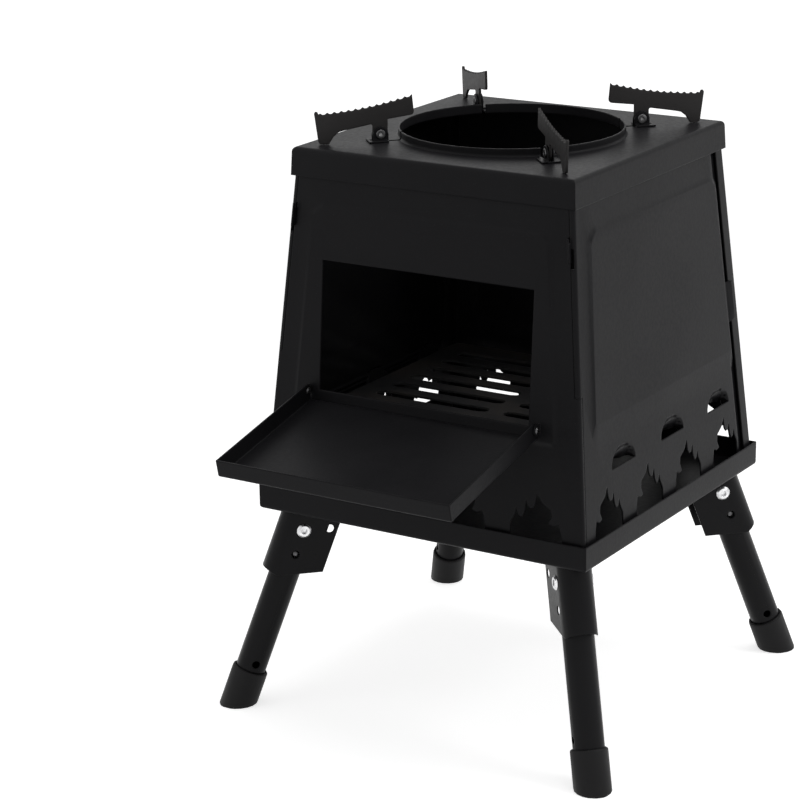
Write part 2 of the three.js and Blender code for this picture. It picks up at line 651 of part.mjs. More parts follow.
/** The hook on a side wall's front bend: a small plate that points forward, with an upward prong. */
function hook(side) {
  const inner = CORNER_RETURN - SHEET / 3;
  const plate = (from, to, z0, z1) =>
    leaningBlock(
      (half) => side * (half + from),
      (half) => side * (half + to),
      inner,
      inner + SHEET,
      z0,
      z1,
    );
  const top = HOOK_FOOT_Z + HOOK_HEIGHT;
  return join(
    plate(-SHEET * 0.9, HOOK_REACH, HOOK_FOOT_Z, top),
    plate(HOOK_REACH - HOOK_PRONG_WIDTH, HOOK_REACH, top - CUT_MARGIN, top + HOOK_PRONG),
  );
}

/** The slot below and beside the hook, in the side wall's front bend. */
const hookSlot = (side) =>
  leaningBlock(
    (half) => side * (half - CORNER_RADIUS),
    (half) => side * (half + CUT_MARGIN),
    SHEET + SEAM_GAP,
    CORNER_RETURN + CUT_MARGIN,
    HOOK_FOOT_Z - HOOK_SLOT_DROP,
    HOOK_FOOT_Z - HOOK_SLOT_DROP + HOOK_SLOT_HEIGHT,
  );

/** The tab of a side wall that laps over the back wall's bent edge. */
function rearTab(mirror) {
  const pathAt = (half) => {
    const edge = half - REAR_FLANGE;
    const out = -half - SHEET - SEAM_GAP;
    const flush = SHEET / 6 - half;
    const rampStart = edge - REAR_TAB_RAMP;
    const path = [
      [rampStart - JOGGLE_RUN - REAR_TAB_ROOT, flush],
      [rampStart, flush],
      [edge - SEAM_GAP, out],
      [edge + REAR_TAB_LAP, out],
    ];
    return mirror ? mirrored(path) : path;
  };
  return bentSheet(pathAt, REAR_TAB_FOOT_Z, REAR_TAB_FOOT_Z + REAR_TAB_HEIGHT);
}

/** A side wall, with its front corner on the side that ear points to. */
function makeSideWall(ear) {
  const frontOnRight = ear > 0;
  const pathAt = (half) => (frontOnRight ? mirrored(sidePath(half)) : sidePath(half));
  const sheet = bentSheet(pathAt, FOOT_Z, WALL_TOP_Z);
  const lap = CORNER_RETURN + SEAM_GAP;
  const frontStrip = cornerStrip(ear, lap, FOOT_Z - CUT_MARGIN, SEAM_STEP_Z + SEAM_GAP);
  const wall = cut(withPad(sheet), frontStrip, hookSlot(ear), ...flames(ear));
  return join(withLouvres(wall, ear), hook(ear), rearTab(frontOnRight));
}

const makeBackWall = (ear) =>
  cut(withPad(bentSheet((half) => returnedPath(half, REAR_FLANGE), FOOT_Z, WALL_TOP_Z)), ...flames(ear));

const WALLS = [
  { name: "front_panel", make: makeFrontWall, ear: 1 },
  { name: "right_panel", make: makeSideWall, ear: -1 },
  { name: "back_panel", make: makeBackWall, ear: -1 },
  { name: "left_panel", make: makeSideWall, ear: 1 },
];

WALLS.forEach(({ name, make, ear }, quarterTurns) => {
  const side = new THREE.Group();
  side.rotation.z = (quarterTurns * Math.PI) / 2;
  stove.add(side);
  addPart(side, name, make(ear), BODY_COAT);
});

// ---------------------------------------------------------------- grate

function makeGrate() {
  const restingHeight = scoopHeight(GRATE_INSET / (LOUVRE_DEPTH + SHEET));
  const scoopTop = LOUVRE_LIP_Z + (LOUVRE_HEIGHT + SHEET) * restingHeight;
  const half = wallHalf(scoopTop) - GRATE_INSET;
  const roundedRectangle = (outline, x, y, halfX, halfY, radius) => {
    outline.absarc(x + halfX - radius, y + halfY - radius, radius, 0, Math.PI / 2);
    outline.absarc(x - halfX + radius, y + halfY - radius, radius, Math.PI / 2, Math.PI);
    outline.absarc(x - halfX + radius, y - halfY + radius, radius, Math.PI, 1.5 * Math.PI);
    outline.absarc(x + halfX - radius, y - halfY + radius, radius, 1.5 * Math.PI, 2 * Math.PI);
    outline.closePath();
    return outline;
  };
  const plate = roundedRectangle(new THREE.Shape(), 0, 0, half, half, GRATE_CORNER_RADIUS);
  for (const column of [-1, 1]) {
    for (let row = 0; row < GRATE_SLOT_ROWS; row++) {
      const y = (row - (GRATE_SLOT_ROWS - 1) / 2) * GRATE_SLOT_PITCH;
      const slot = new THREE.Path();
      const radius = GRATE_SLOT_WIDTH / 2;
      roundedRectangle(slot, column * GRATE_SLOT_COLUMN, y, GRATE_SLOT_LENGTH / 2, radius, radius);
      plate.holes.push(slot);
    }
  }
  const geometry = new THREE.ExtrudeGeometry(plate, {
    depth: GRATE_THICKNESS,
    bevelEnabled: false,
    curveSegments: 1,
  });
  return solidOf(geometry.translate(0, 0, scoopTop + SEAT_GAP));
}

addPart(stove, "charcoal_grate", makeGrate(), GRATE_COAT);

// ---------------------------------------------------------------- lid

// The diagonals on which the pot supports and the legs stand: name, and angle from +X in degrees.
const CORNERS = [
  { corner: "fr", angle: -45 },
  { corner: "br", angle: 45 },
  { corner: "bl", angle: 135 },
  { corner: "fl", angle: -135 },
];

/** A matrix that turns +X to a corner's diagonal. */
const towards = (angle) => new THREE.Matrix4().makeRotationZ(THREE.MathUtils.degToRad(angle));

function makeLid() {
  const square = (half, z) => [-half, half, -half, half, z];
  const drop = LID_TOP_Z - LID_SKIRT_Z;
  const skirtHalf = (z) => LID_TOP_HALF + (LID_FLARE * (LID_TOP_Z - z)) / drop;
  const shell = (bendRadius, wall, top, bottom) => {
    const bend = quarterRound(bendRadius).reverse();
    const levels = bend.map(([inset, rise]) => square(skirtHalf(top - rise) - wall - inset, top - rise));
    return rectangularLoft([square(skirtHalf(bottom) - wall, bottom), ...levels]);
  };
  const outside = shell(LID_BEND_RADIUS, 0, LID_TOP_Z, LID_SKIRT_Z);
  const inside = shell(LID_BEND_RADIUS - SHEET, SHEET, LID_INSIDE_Z, LID_SKIRT_Z - CUT_MARGIN);
  const openingSteps = 48;
  const collarTop = LID_TOP_Z + COLLAR_HEIGHT;
  const rootTop = LID_TOP_Z - COLLAR_ROOT_DEPTH;
  const rootBottom = LID_INSIDE_Z + COLLAR_ROOT_DEPTH;
  const fillet = quarterRound(COLLAR_FILLET).map(([inset, rise]) => [
    COLLAR_RADIUS + rise,
    rootTop + inset,
  ]);
  const collar = revolve(
    [
      [COLLAR_BORE, rootBottom],
      [COLLAR_RADIUS + COLLAR_FILLET + COLLAR_ROOT, rootBottom],
      [COLLAR_RADIUS + COLLAR_FILLET + COLLAR_ROOT, rootTop],
      ...fillet.reverse(),
      [COLLAR_RADIUS, collarTop],
      [COLLAR_BORE, collarTop],
      [COLLAR_BORE, rootBottom],
    ],
    openingSteps,
  );
  const openingRadius = COLLAR_RADIUS + COLLAR_FILLET / 2;
  const opening = rod(openingRadius, LID_INSIDE_Z - CUT_MARGIN, LID_TOP_Z + CUT_MARGIN, openingSteps);
  const slot = block(
    COLLAR_BORE - CUT_MARGIN,
    SLOT_END_RADIUS,
    -SLOT_WIDTH / 2,
    SLOT_WIDTH / 2,
    LID_INSIDE_Z - CUT_MARGIN,
    collarTop + CUT_MARGIN,
  );
  const lid = join(cut(outside, inside, opening), collar);
  return cut(lid, ...CORNERS.map(({ angle }) => moved(slot, towards(angle))));
}

addPart(stove, "lid", makeLid(), LID_COAT);

// ---------------------------------------------------------------- pot supports

// Made with the pivot at the origin, X along the diagonal away from the opening, Z up.

const SUPPORT_STEM_STEPS = 3;

function makeSupport() {
  const shape = new THREE.Shape();
  const eye = SUPPORT_EYE_RADIUS;
  const armEnd = -SUPPORT_INNER_REACH - SUPPORT_ARM_BULGE;
  const armBottom = SUPPORT_INNER_HEIGHT - SUPPORT_ARM_DEPTH;
  shape.moveTo(-eye, 0);
  shape.lineTo(-eye, armBottom - SUPPORT_ARM_FALL);
  shape.lineTo(armEnd + SUPPORT_ARM_ROUND, armBottom);
  shape.quadraticCurveTo(armEnd, armBottom, armEnd, armBottom + SUPPORT_ARM_ROUND);

  const edgeX = (step) => step * SUPPORT_SCALLOP_PITCH - SUPPORT_INNER_REACH;
  const edgeHeight = (step) => {
    const share = step / SUPPORT_SCALLOPS;
    return SUPPORT_INNER_HEIGHT - SUPPORT_TOP_FALL * share - SUPPORT_TOP_SAG * Math.sin(Math.PI * share);
  };
  shape.lineTo(edgeX(0), edgeHeight(0));
  for (let step = 0; step < SUPPORT_SCALLOPS; step++) {
    const [x, nextX] = [edgeX(step), edgeX(step + 1)];
    const [height, nextHeight] = [edgeHeight(step), edgeHeight(step + 1)];
    const control = (height + nextHeight) / 2 - 2 * SUPPORT_SCALLOP_DEPTH;
    shape.quadraticCurveTo((x + nextX) / 2, control, nextX, nextHeight);
  }

  const outer = SUPPORT_OUTER_REACH;
  const end = edgeHeight(SUPPORT_SCALLOPS);
  const horn = edgeX(SUPPORT_SCALLOPS) + SUPPORT_HORN_START;
  const hornControl = end + (4 / 3) * SUPPORT_HORN_HEIGHT;
  shape.lineTo(horn, end - SUPPORT_SCALLOP_DEPTH / 2);
  shape.bezierCurveTo(horn, hornControl, outer, hornControl, outer, end);

  const sole = SEAT_GAP - SUPPORT_AXIS_RISE;
  const aboveFoot = outer - SUPPORT_OUTER_TAPER;
  shape.lineTo(aboveFoot, sole + SUPPORT_FOOT_ROUND);
  shape.quadraticCurveTo(aboveFoot, sole, SUPPORT_FOOT_END, sole);
  shape.lineTo(SUPPORT_FOOT_START, sole);

  const arch = SUPPORT_ARCH_RISE;
  const archSide = arch - SUPPORT_ARCH_FALL;
  const curveEnd = SUPPORT_FOOT_START - SUPPORT_ARCH_CURVE;
  shape.quadraticCurveTo(SUPPORT_FOOT_START - 0.4 * SUPPORT_ARCH_CURVE, archSide, curveEnd, archSide);
  shape.lineTo(eye + SUPPORT_ARCH_ROUND, arch);
  shape.quadraticCurveTo(eye, arch, eye, arch - SUPPORT_ARCH_ROUND);
  shape.lineTo(eye, 0);
  shape.absarc(0, 0, eye, 0, -Math.PI, true);
  shape.holes.push(roundHole(0, 0, RIVET_RADIUS + RIVET_CLEARANCE));
  return uprightPlate(shape, -SUPPORT_THICKNESS / 2, SUPPORT_THICKNESS / 2, SUPPORT_STEM_STEPS);
}

function makeBracket() {
  const base = SEAT_GAP - SUPPORT_AXIS_RISE;
  const earInner = SLOT_WIDTH / 2;
  const earShape = new THREE.Shape();
  earShape.moveTo(BRACKET_EAR_RADIUS, base);
  earShape.lineTo(BRACKET_EAR_RADIUS, 0);
  earShape.absarc(0, 0, BRACKET_EAR_RADIUS, 0, Math.PI);
  earShape.lineTo(-BRACKET_EAR_RADIUS, base);
  earShape.holes.push(roundHole(0, 0, RIVET_RADIUS + RIVET_CLEARANCE));
  const ears = [-1, 1].map((side) => {
    const faces = [side * earInner, side * (earInner + BRACKET_SHEET)].sort((a, b) => a - b);
    return uprightPlate(earShape, ...faces, SUPPORT_STEM_STEPS);
  });
  const plate = block(
    -BRACKET_EAR_RADIUS + SHEET / 2,
    BRACKET_BASE_END,
    -BRACKET_BASE_HALF_WIDTH,
    BRACKET_BASE_HALF_WIDTH,
    base,
    base + BRACKET_SHEET,
  );
  const slotEnd = SLOT_END_RADIUS - SUPPORT_AXIS_RADIUS;
  const slot = block(
    -BRACKET_BASE_END,
    slotEnd,
    -earInner,
    earInner,
    base - CUT_MARGIN,
    base + BRACKET_SHEET + CUT_MARGIN,
  );
  return join(cut(plate, slot), ...ears);
}

/** A hollow rivet with two flanged ends, lying along Y. */
function makeSupportRivet() {
  const grip = SLOT_WIDTH / 2 + BRACKET_SHEET + SEAT_GAP / 2;
  const end = grip + RIVET_HEAD_THICKNESS;
  const profile = [
    [RIVET_BORE_RADIUS, -end],
    [RIVET_HEAD_RADIUS - RIVET_HEAD_THICKNESS / 2, -end],
    [RIVET_HEAD_RADIUS, -grip - RIVET_HEAD_THICKNESS / 3],
    [RIVET_HEAD_RADIUS, -grip],
    [RIVET_RADIUS, -grip],
    [RIVET_RADIUS, grip],
    [RIVET_HEAD_RADIUS, grip],
    [RIVET_HEAD_RADIUS, grip + RIVET_HEAD_THICKNESS / 3],
    [RIVET_HEAD_RADIUS - RIVET_HEAD_THICKNESS / 2, end],
    [RIVET_BORE_RADIUS, end],
    [RIVET_BORE_RADIUS, -end],
  ];
  return alongY(revolve(profile, 10));
}

for (const { corner, angle } of CORNERS) {
  const diagonal = new THREE.Group();
  diagonal.rotation.z = THREE.MathUtils.degToRad(angle);
  const pivot = new THREE.Group();
  pivot.position.set(SUPPORT_AXIS_RADIUS, 0, SUPPORT_AXIS_Z);
  diagonal.add(pivot);
  stove.add(diagonal);
  addPart(pivot, `pot_support_${corner}`, makeSupport(), SUPPORT_COAT);
  addPart(pivot, `pot_bracket_${corner}`, makeBracket(), LID_COAT);
  addPart(pivot, `pot_rivet_${corner}`, makeSupportRivet(), RIVET_STEEL);
}

// ---------------------------------------------------------------- door

// Made with the hinge axis along X through the origin and the floor level, reaching to -Y, and then tilted.

function makeDoor() {
  const levels = (bend, wall, floor, top, rear) => {
    const section = (inset) => [
      inset + wall - DOOR_HALF_WIDTH,
      DOOR_HALF_WIDTH - wall - inset,
      inset + wall - DOOR_REACH,
      rear,
    ];
    const rising = quarterRound(bend).map(([inset, rise]) => [...section(inset), floor + rise]);
    return [...rising, [...section(0), top]];
  };
  const outside = rectangularLoft(levels(DOOR_BEND_RADIUS, 0, DOOR_FLOOR, DOOR_RIM_ABOVE_AXIS, DOOR_HEEL));
  const inside = rectangularLoft(
    levels(
      DOOR_BEND_RADIUS - SHEET,
      SHEET,
      DOOR_FLOOR + SHEET,
      DOOR_RIM_ABOVE_AXIS + CUT_MARGIN,
      DOOR_HEEL + CUT_MARGIN,
    ),
  );
  const reach = DOOR_HALF_WIDTH + CUT_MARGIN;
  const pinHoles = alongX(rod(PIN_RADIUS + PIN_CLEARANCE, -reach, reach, 12));
  // the side rims are rounded off round the hinge axis at their rear ends
  const rear = new THREE.Shape();
  rear.moveTo(0, DOOR_RIM_ABOVE_AXIS + CUT_MARGIN);
  rear.lineTo(0, DOOR_RIM_ABOVE_AXIS);
  rear.absarc(0, 0, DOOR_RIM_ABOVE_AXIS, Math.PI / 2, 0, true);
  rear.lineTo(DOOR_RIM_ABOVE_AXIS + CUT_MARGIN, DOOR_RIM_ABOVE_AXIS + CUT_MARGIN);
  return cut(outside, inside, pinHoles, sidePlate(rear, -reach, reach));
}

/** A headed pin along X, through a door rim and the ear beside it. */
function makeDoorPin(side) {
  const innerEnd = DOOR_HALF_WIDTH - SHEET - SEAT_GAP;
  const headFace = HINGE_EAR_INNER + SHEET + SEAT_GAP;
  const profile = [
    [0, innerEnd - PIN_HEAD_THICKNESS],
    [PIN_HEAD_RADIUS * 0.6, innerEnd - PIN_HEAD_THICKNESS],
    [PIN_HEAD_RADIUS, innerEnd - PIN_HEAD_THICKNESS / 3],
    [PIN_HEAD_RADIUS, innerEnd],
    [PIN_RADIUS, innerEnd],
    [PIN_RADIUS, headFace],
    [PIN_HEAD_RADIUS, headFace],
    [PIN_HEAD_RADIUS, headFace + PIN_HEAD_THICKNESS / 3],
    [PIN_HEAD_RADIUS * 0.6, headFace + PIN_HEAD_THICKNESS],
    [0, headFace + PIN_HEAD_THICKNESS],
  ];
  const pin = alongX(revolve(profile, 12));
  return side > 0 ? pin : moved(pin, new THREE.Matrix4().makeRotationZ(Math.PI));
}

const doorHinge = new THREE.Group();
doorHinge.position.set(0, DOOR_AXIS_Y, DOOR_AXIS_Z);
stove.add(doorHinge);
addPart(doorHinge, "door_pin_left", makeDoorPin(-1), RIVET_STEEL);
addPart(doorHinge, "door_pin_right", makeDoorPin(1), RIVET_STEEL);

const openDoor = new THREE.Group();
openDoor.rotation.x = THREE.MathUtils.degToRad(DOOR_OPEN_SLOPE);
doorHinge.add(openDoor);
addPart(openDoor, "door", makeDoor(), DOOR_COAT);

// ---------------------------------------------------------------- legs

// Made in the leg's own frame: the pivot at the origin, the leg along -Z, X away from the stove.

const legPlacement = new THREE.Matrix4()
  .makeTranslation(LEG_PIVOT_RADIUS, 0, LEG_PIVOT_Z)
  .multiply(new THREE.Matrix4().makeRotationY(-LEG_LEAN_RADIANS));

/** A cutter in the leg's frame, from an outline in the distance from the stove's axis and the height. */
function levelCutter(points) {
  const shape = new THREE.Shape(points.map(([radius, z]) => new THREE.Vector2(radius, z)));
  const reach = 2 * FOOT_RADIUS;
  return moved(uprightPlate(shape, -reach, reach), legPlacement.clone().invert());
}

const NEAR = 0;
const FAR = 2 * LEG_PIVOT_RADIUS;

/** A round hole along Y at (x, z), from y0 to y1. */
const crossHole = (radius, x, z, y0, y1) => shifted(alongY(rod(radius, y0, y1, 10)), x, 0, z);

function makeSocket() {
  const outline = new THREE.Shape();
  const reach = -SOCKET_CHEEK_REACH;
  const back = SOCKET_BACK_OFFSET;
  outline.moveTo(reach, -SOCKET_OUTER_RADIUS);
  outline.lineTo(back, -SOCKET_OUTER_RADIUS);
  outline.absarc(back, 0, SOCKET_OUTER_RADIUS, -Math.PI / 2, Math.PI / 2);
  outline.lineTo(reach, SOCKET_OUTER_RADIUS);
  outline.lineTo(reach, SOCKET_INNER_RADIUS);
  outline.lineTo(back, SOCKET_INNER_RADIUS);
  outline.absarc(back, 0, SOCKET_INNER_RADIUS, Math.PI / 2, -Math.PI / 2, true);
  outline.lineTo(reach, -SOCKET_INNER_RADIUS);
  const top = 2 * SOCKET_CHEEK_REACH;
  const length = 2 * top;
  const bar = { depth: length, bevelEnabled: false, curveSegments: 5 };
  const channel = new THREE.ExtrudeGeometry(outline, bar);
  const underTray = TRAY_UNDERSIDE_Z - SEAT_GAP;
  const innerCorner = LEG_PIVOT_RADIUS - SOCKET_CHEEK_REACH * Math.cos(LEG_LEAN_RADIANS);
  const cornerShift = (LEG_PIVOT_Z - SOCKET_BOTTOM_Z) * Math.tan(LEG_LEAN_RADIANS);
  const chamferStart = innerCorner + cornerShift + SOCKET_LEVEL_EDGE;
  const above = levelCutter([
    [NEAR, underTray],
    [FAR, underTray],
    [FAR, 2 * underTray],
    [NEAR, 2 * underTray],
  ]);
  const below = levelCutter([
    [NEAR, -underTray],
    [FAR, -underTray],
    [FAR, SOCKET_BOTTOM_Z + (FAR - chamferStart) * SOCKET_CHAMFER_SLOPE],
    [chamferStart, SOCKET_BOTTOM_Z],
    [NEAR, SOCKET_BOTTOM_Z],
  ]);
  const through = SOCKET_OUTER_RADIUS + CUT_MARGIN;
  const foldedX = -LOCK_RADIUS * Math.sin(LEG_FOLD_RADIANS);
  const foldedZ = -LOCK_RADIUS * Math.cos(LEG_FOLD_RADIANS);
  return cut(
    solidOf(channel.translate(0, 0, top - length)),
    above,
    below,
    crossHole(LEG_RIVET_RADIUS + RIVET_CLEARANCE, 0, 0, -through, through),
    crossHole(LOCK_HOLE_RADIUS, 0, -LOCK_RADIUS, -through, through),
    crossHole(LOCK_HOLE_RADIUS, foldedX, foldedZ, -through, through),
  );
}

/** The rivet that a leg turns on: two raised heads, each with a hollow centre. */
function makeLegPivot() {
  const grip = SOCKET_OUTER_RADIUS + SEAT_GAP / 2;
  const end = grip + LEG_RIVET_HEAD_THICKNESS;
  const half = [
    [0, end - LEG_RIVET_BORE_DEPTH],
    [LEG_RIVET_BORE_RADIUS, end - LEG_RIVET_BORE_DEPTH],
    [LEG_RIVET_BORE_RADIUS, end],
    [LEG_RIVET_HEAD_RADIUS - LEG_RIVET_HEAD_THICKNESS, end],
    [LEG_RIVET_HEAD_RADIUS, grip],
    [LEG_RIVET_RADIUS, grip],
  ];
  const otherHalf = half.map(([radius, y]) => [radius, -y]);
  return alongY(revolve([...otherHalf, ...half.reverse()], 12));
}

/** The leg tube: domed over the pivot so that it turns inside its socket, open at the foot. */
function makeTube(buttonSide) {
  const dome = Array.from({ length: ARC_STEPS + 1 }, (_, i) => {
    const angle = (i / ARC_STEPS) * (Math.PI / 2);
    return [TUBE_RADIUS * Math.cos(angle), TUBE_RADIUS * Math.sin(angle)];
  });
  const bore = TUBE_RADIUS - TUBE_WALL;
  const profile = [
    [bore, TUBE_END],
    [TUBE_RADIUS, TUBE_END],
    ...dome,
    [0, TUBE_WALL],
    [bore, TUBE_WALL],
    [bore, TUBE_END],
  ];
  const through = TUBE_RADIUS + CUT_MARGIN;
  const drainZ = FOOT_TOP + DRAIN_HOLE_ABOVE_FOOT;
  const oneSide = buttonSide > 0 ? [0, through] : [-through, 0];
  return cut(
    revolve(profile),
    crossHole(LEG_RIVET_RADIUS + RIVET_CLEARANCE, 0, 0, -through, through),
    crossHole(LOCK_HOLE_RADIUS, 0, -LOCK_RADIUS, ...oneSide),
    crossHole(DRAIN_HOLE_RADIUS, 0, drainZ, ...oneSide),
  );
}

function makeFoot() {
  const bottom = alongLeg(0, FOOT_RADIUS) - CUT_MARGIN;
  const cap = revolve([
    [0, bottom],
    [FOOT_RADIUS, bottom],
    [FOOT_RADIUS, FOOT_TOP - FOOT_CHAMFER],
    [FOOT_RADIUS - FOOT_CHAMFER, FOOT_TOP],
    [FOOT_BORE_RADIUS, FOOT_TOP],
    [FOOT_BORE_RADIUS, FOOT_BORE_END],
    [0, FOOT_BORE_END],
  ]);
  const underGround = levelCutter([
    [NEAR, -LEG_PIVOT_Z],
    [FAR, -LEG_PIVOT_Z],
    [FAR, 0],
    [NEAR, 0],
  ]);
  return cut(cap, underGround);
}

/** The snap button that locks a leg: a domed stud with a flange inside the tube. */
function makeButton(side) {
  const tip = SOCKET_INNER_RADIUS - BUTTON_GAP;
  const bore = TUBE_RADIUS - TUBE_WALL;
  const flangeTop = Math.sqrt(bore ** 2 - BUTTON_FLANGE_RADIUS ** 2) - SEAT_GAP;
  const dome = Array.from({ length: ARC_STEPS + 1 }, (_, i) => {
    const angle = (i / ARC_STEPS) * (Math.PI / 2);
    return [BUTTON_RADIUS * Math.cos(angle), tip - BUTTON_DOME * (1 - Math.sin(angle))];
  });
  const profile = [
    [0, flangeTop - BUTTON_FLANGE_THICKNESS],
    [BUTTON_FLANGE_RADIUS, flangeTop - BUTTON_FLANGE_THICKNESS],
    [BUTTON_FLANGE_RADIUS, flangeTop],
    [BUTTON_RADIUS, flangeTop],
    ...dome,
  ];
  const stud = alongY(revolve(profile, 12));
  const facing = side > 0 ? stud : moved(stud, new THREE.Matrix4().makeRotationZ(Math.PI));
  return shifted(facing, 0, 0, -LOCK_RADIUS);
}

for (const { corner, angle } of CORNERS) {
  const diagonal = new THREE.Group();
  diagonal.rotation.z = THREE.MathUtils.degToRad(angle);
  const leg = new THREE.Group();
  leg.applyMatrix4(legPlacement);
  diagonal.add(leg);
  stove.add(diagonal);
  const buttonSide = corner.endsWith("r") ? -1 : 1;
  addPart(leg, `leg_socket_${corner}`, makeSocket(), LEG_COAT);
  addPart(leg, `leg_pivot_${corner}`, makeLegPivot(), RIVET_STEEL);
  addPart(leg, `leg_tube_${corner}`, makeTube(buttonSide), LEG_COAT);
  addPart(leg, `leg_foot_${corner}`, makeFoot(), FOOT_RUBBER);
  addPart(leg, `leg_button_${corner}`, makeButton(buttonSide), RIVET_STEEL);
}

// The origin is on the ground, at the middle of the box round the whole stove with its door open.
const extent = new THREE.Box3().setFromObject(stove, true);
stove.position.y = -(extent.min.y + extent.max.y) / 2;

export default stove;
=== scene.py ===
import math

import bmesh
import bpy
from mathutils import Matrix, Vector


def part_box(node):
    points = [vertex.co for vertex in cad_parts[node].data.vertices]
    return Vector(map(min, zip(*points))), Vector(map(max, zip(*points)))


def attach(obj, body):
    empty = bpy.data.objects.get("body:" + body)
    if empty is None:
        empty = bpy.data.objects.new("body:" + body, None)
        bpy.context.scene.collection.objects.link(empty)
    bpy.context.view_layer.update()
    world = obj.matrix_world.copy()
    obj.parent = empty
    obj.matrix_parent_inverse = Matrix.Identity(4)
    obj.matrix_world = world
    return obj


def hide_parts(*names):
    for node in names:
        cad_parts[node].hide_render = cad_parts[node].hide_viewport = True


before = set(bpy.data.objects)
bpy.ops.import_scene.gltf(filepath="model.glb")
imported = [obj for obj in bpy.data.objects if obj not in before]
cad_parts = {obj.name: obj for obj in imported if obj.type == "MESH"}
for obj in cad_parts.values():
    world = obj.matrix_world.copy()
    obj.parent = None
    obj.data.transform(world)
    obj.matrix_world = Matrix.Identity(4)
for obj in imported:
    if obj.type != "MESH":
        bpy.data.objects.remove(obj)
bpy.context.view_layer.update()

SAME_PLACE = 0.00002  # vertices closer than this are one
WHITE = (1, 1, 1, 1)


# ---------------------------------------------------------------- shader nodes
class Nodes:
    """A node tree that is built link by link."""

    def __init__(self, tree):
        self.tree = tree

    def add(self, kind, **settings):
        node = self.tree.nodes.new(kind)
        for key, value in settings.items():
            setattr(node, key, value)
        return node

    def link(self, source, target):
        self.tree.links.new(source, target)

    def feed(self, socket, value):
        """Links another node's output to a socket, or sets the socket to a colour or a number."""
        if isinstance(value, bpy.types.NodeSocket):
            self.link(value, socket)
        elif isinstance(value, tuple):
            socket.default_value = (*value, 1.0)
        else:
            socket.default_value = value

    def ramp(self, value, span, result=(0.0, 1.0)):
        """Turns a span of a value into a span of results, with soft ends."""
        node = self.add("ShaderNodeMapRange", interpolation_type="SMOOTHSTEP")
        self.link(value, node.inputs["Value"])
        node.inputs["From Min"].default_value, node.inputs["From Max"].default_value = span
        node.inputs["To Min"].default_value, node.inputs["To Max"].default_value = result
        return node.outputs["Result"]

    def combine(self, one, other, operation="ADD"):
        node = self.add("ShaderNodeMath", operation=operation)
        self.feed(node.inputs[0], one)
        self.feed(node.inputs[1], other)
        return node.outputs[0]

    def mix(self, factor, one, other):
        node = self.add("ShaderNodeMix", data_type="RGBA")
        for socket, value in zip((node.inputs[0], node.inputs[6], node.inputs[7]), (factor, one, other)):
            self.feed(socket, value)
        return node.outputs[2]

    def sight(self):
        """One for the camera's rays and those that mirror or pass, and nought for the rays that light."""
        path = self.add("ShaderNodeLightPath")
        seen = path.outputs["Is Camera Ray"]
        for other in ("Is Glossy Ray", "Is Transmission Ray"):
            seen = self.combine(seen, path.outputs[other], "MAXIMUM")
        return seen


class Shader(Nodes):
    """A material with one Principled shader. Its noise follows the piece's own coordinates, in metres."""

    FOLD_SAMPLES = 6

    def __init__(self, name):
        self.material = bpy.data.materials.new(name)
        self.material.use_nodes = True
        super().__init__(self.material.node_tree)
        self.bsdf = self.tree.nodes["Principled BSDF"]
        self.place = self.add("ShaderNodeTexCoord").outputs["Object"]

    def stretched(self, scale):
        mapping = self.add("ShaderNodeMapping")
        mapping.inputs["Scale"].default_value = scale
        self.link(self.place, mapping.inputs["Vector"])
        return mapping.outputs["Vector"]

    def noise(self, scale, detail=3.0, roughness=0.5, vector=None):
        node = self.add("ShaderNodeTexNoise")
        node.inputs["Scale"].default_value = scale
        node.inputs["Detail"].default_value = detail
        node.inputs["Roughness"].default_value = roughness
        self.link(vector or self.place, node.inputs["Vector"])
        return node.outputs["Fac"]

    def bump(self, height, distance, strength, fold=0.0):
        """Raises the surface by a height, and rounds its folds to a radius where one is given."""
        node = self.add("ShaderNodeBump")
        if fold:
            rounding = self.add("ShaderNodeBevel", samples=self.FOLD_SAMPLES)
            rounding.inputs["Radius"].default_value = fold
            self.link(rounding.outputs["Normal"], node.inputs["Normal"])
        node.inputs["Distance"].default_value = distance
        node.inputs["Strength"].default_value = strength
        self.link(height, node.inputs["Height"])
        self.link(node.outputs["Normal"], self.bsdf.inputs["Normal"])


# ---------------------------------------------------------------- materials
MIDDLE = (0.3, 0.7)  # the span that most of a noise's values lie in

# black powder coat; noise scales are per metre and depths in metres
COAT_GRAIN = 1500.0
COAT_PEEL = 340.0
COAT_CLOUD = 9.0
COAT_SPECK = 900.0
CLOUD_SPAN = (0.35, 0.65)
SPECK_SPAN = (0.70, 0.80)
DUST = (0.035, 0.035, 0.037)
DUST_SHARE = 0.35
CLOUD_ROUGHNESS = 0.04
PEEL_ROUGHNESS = (-0.03, 0.03)
GRAIN_SHARE = 0.4  # of the grain's height, beside the peel's
COAT_DEPTH = 0.00005
COAT_STRENGTH = 0.45
FOLD = 0.0016  # radius of the sheet's folds

# steel heads and pins
SCRATCH_SPAN = (0.4, 0.7)
SCRATCH_ROUGHNESS = (0.0, 0.06)
SCRATCH_DEPTH = 0.00002
SCRATCH_STRENGTH = 0.4

GRAIN_STRENGTH = 0.5  # of the grate's coat and the rubber


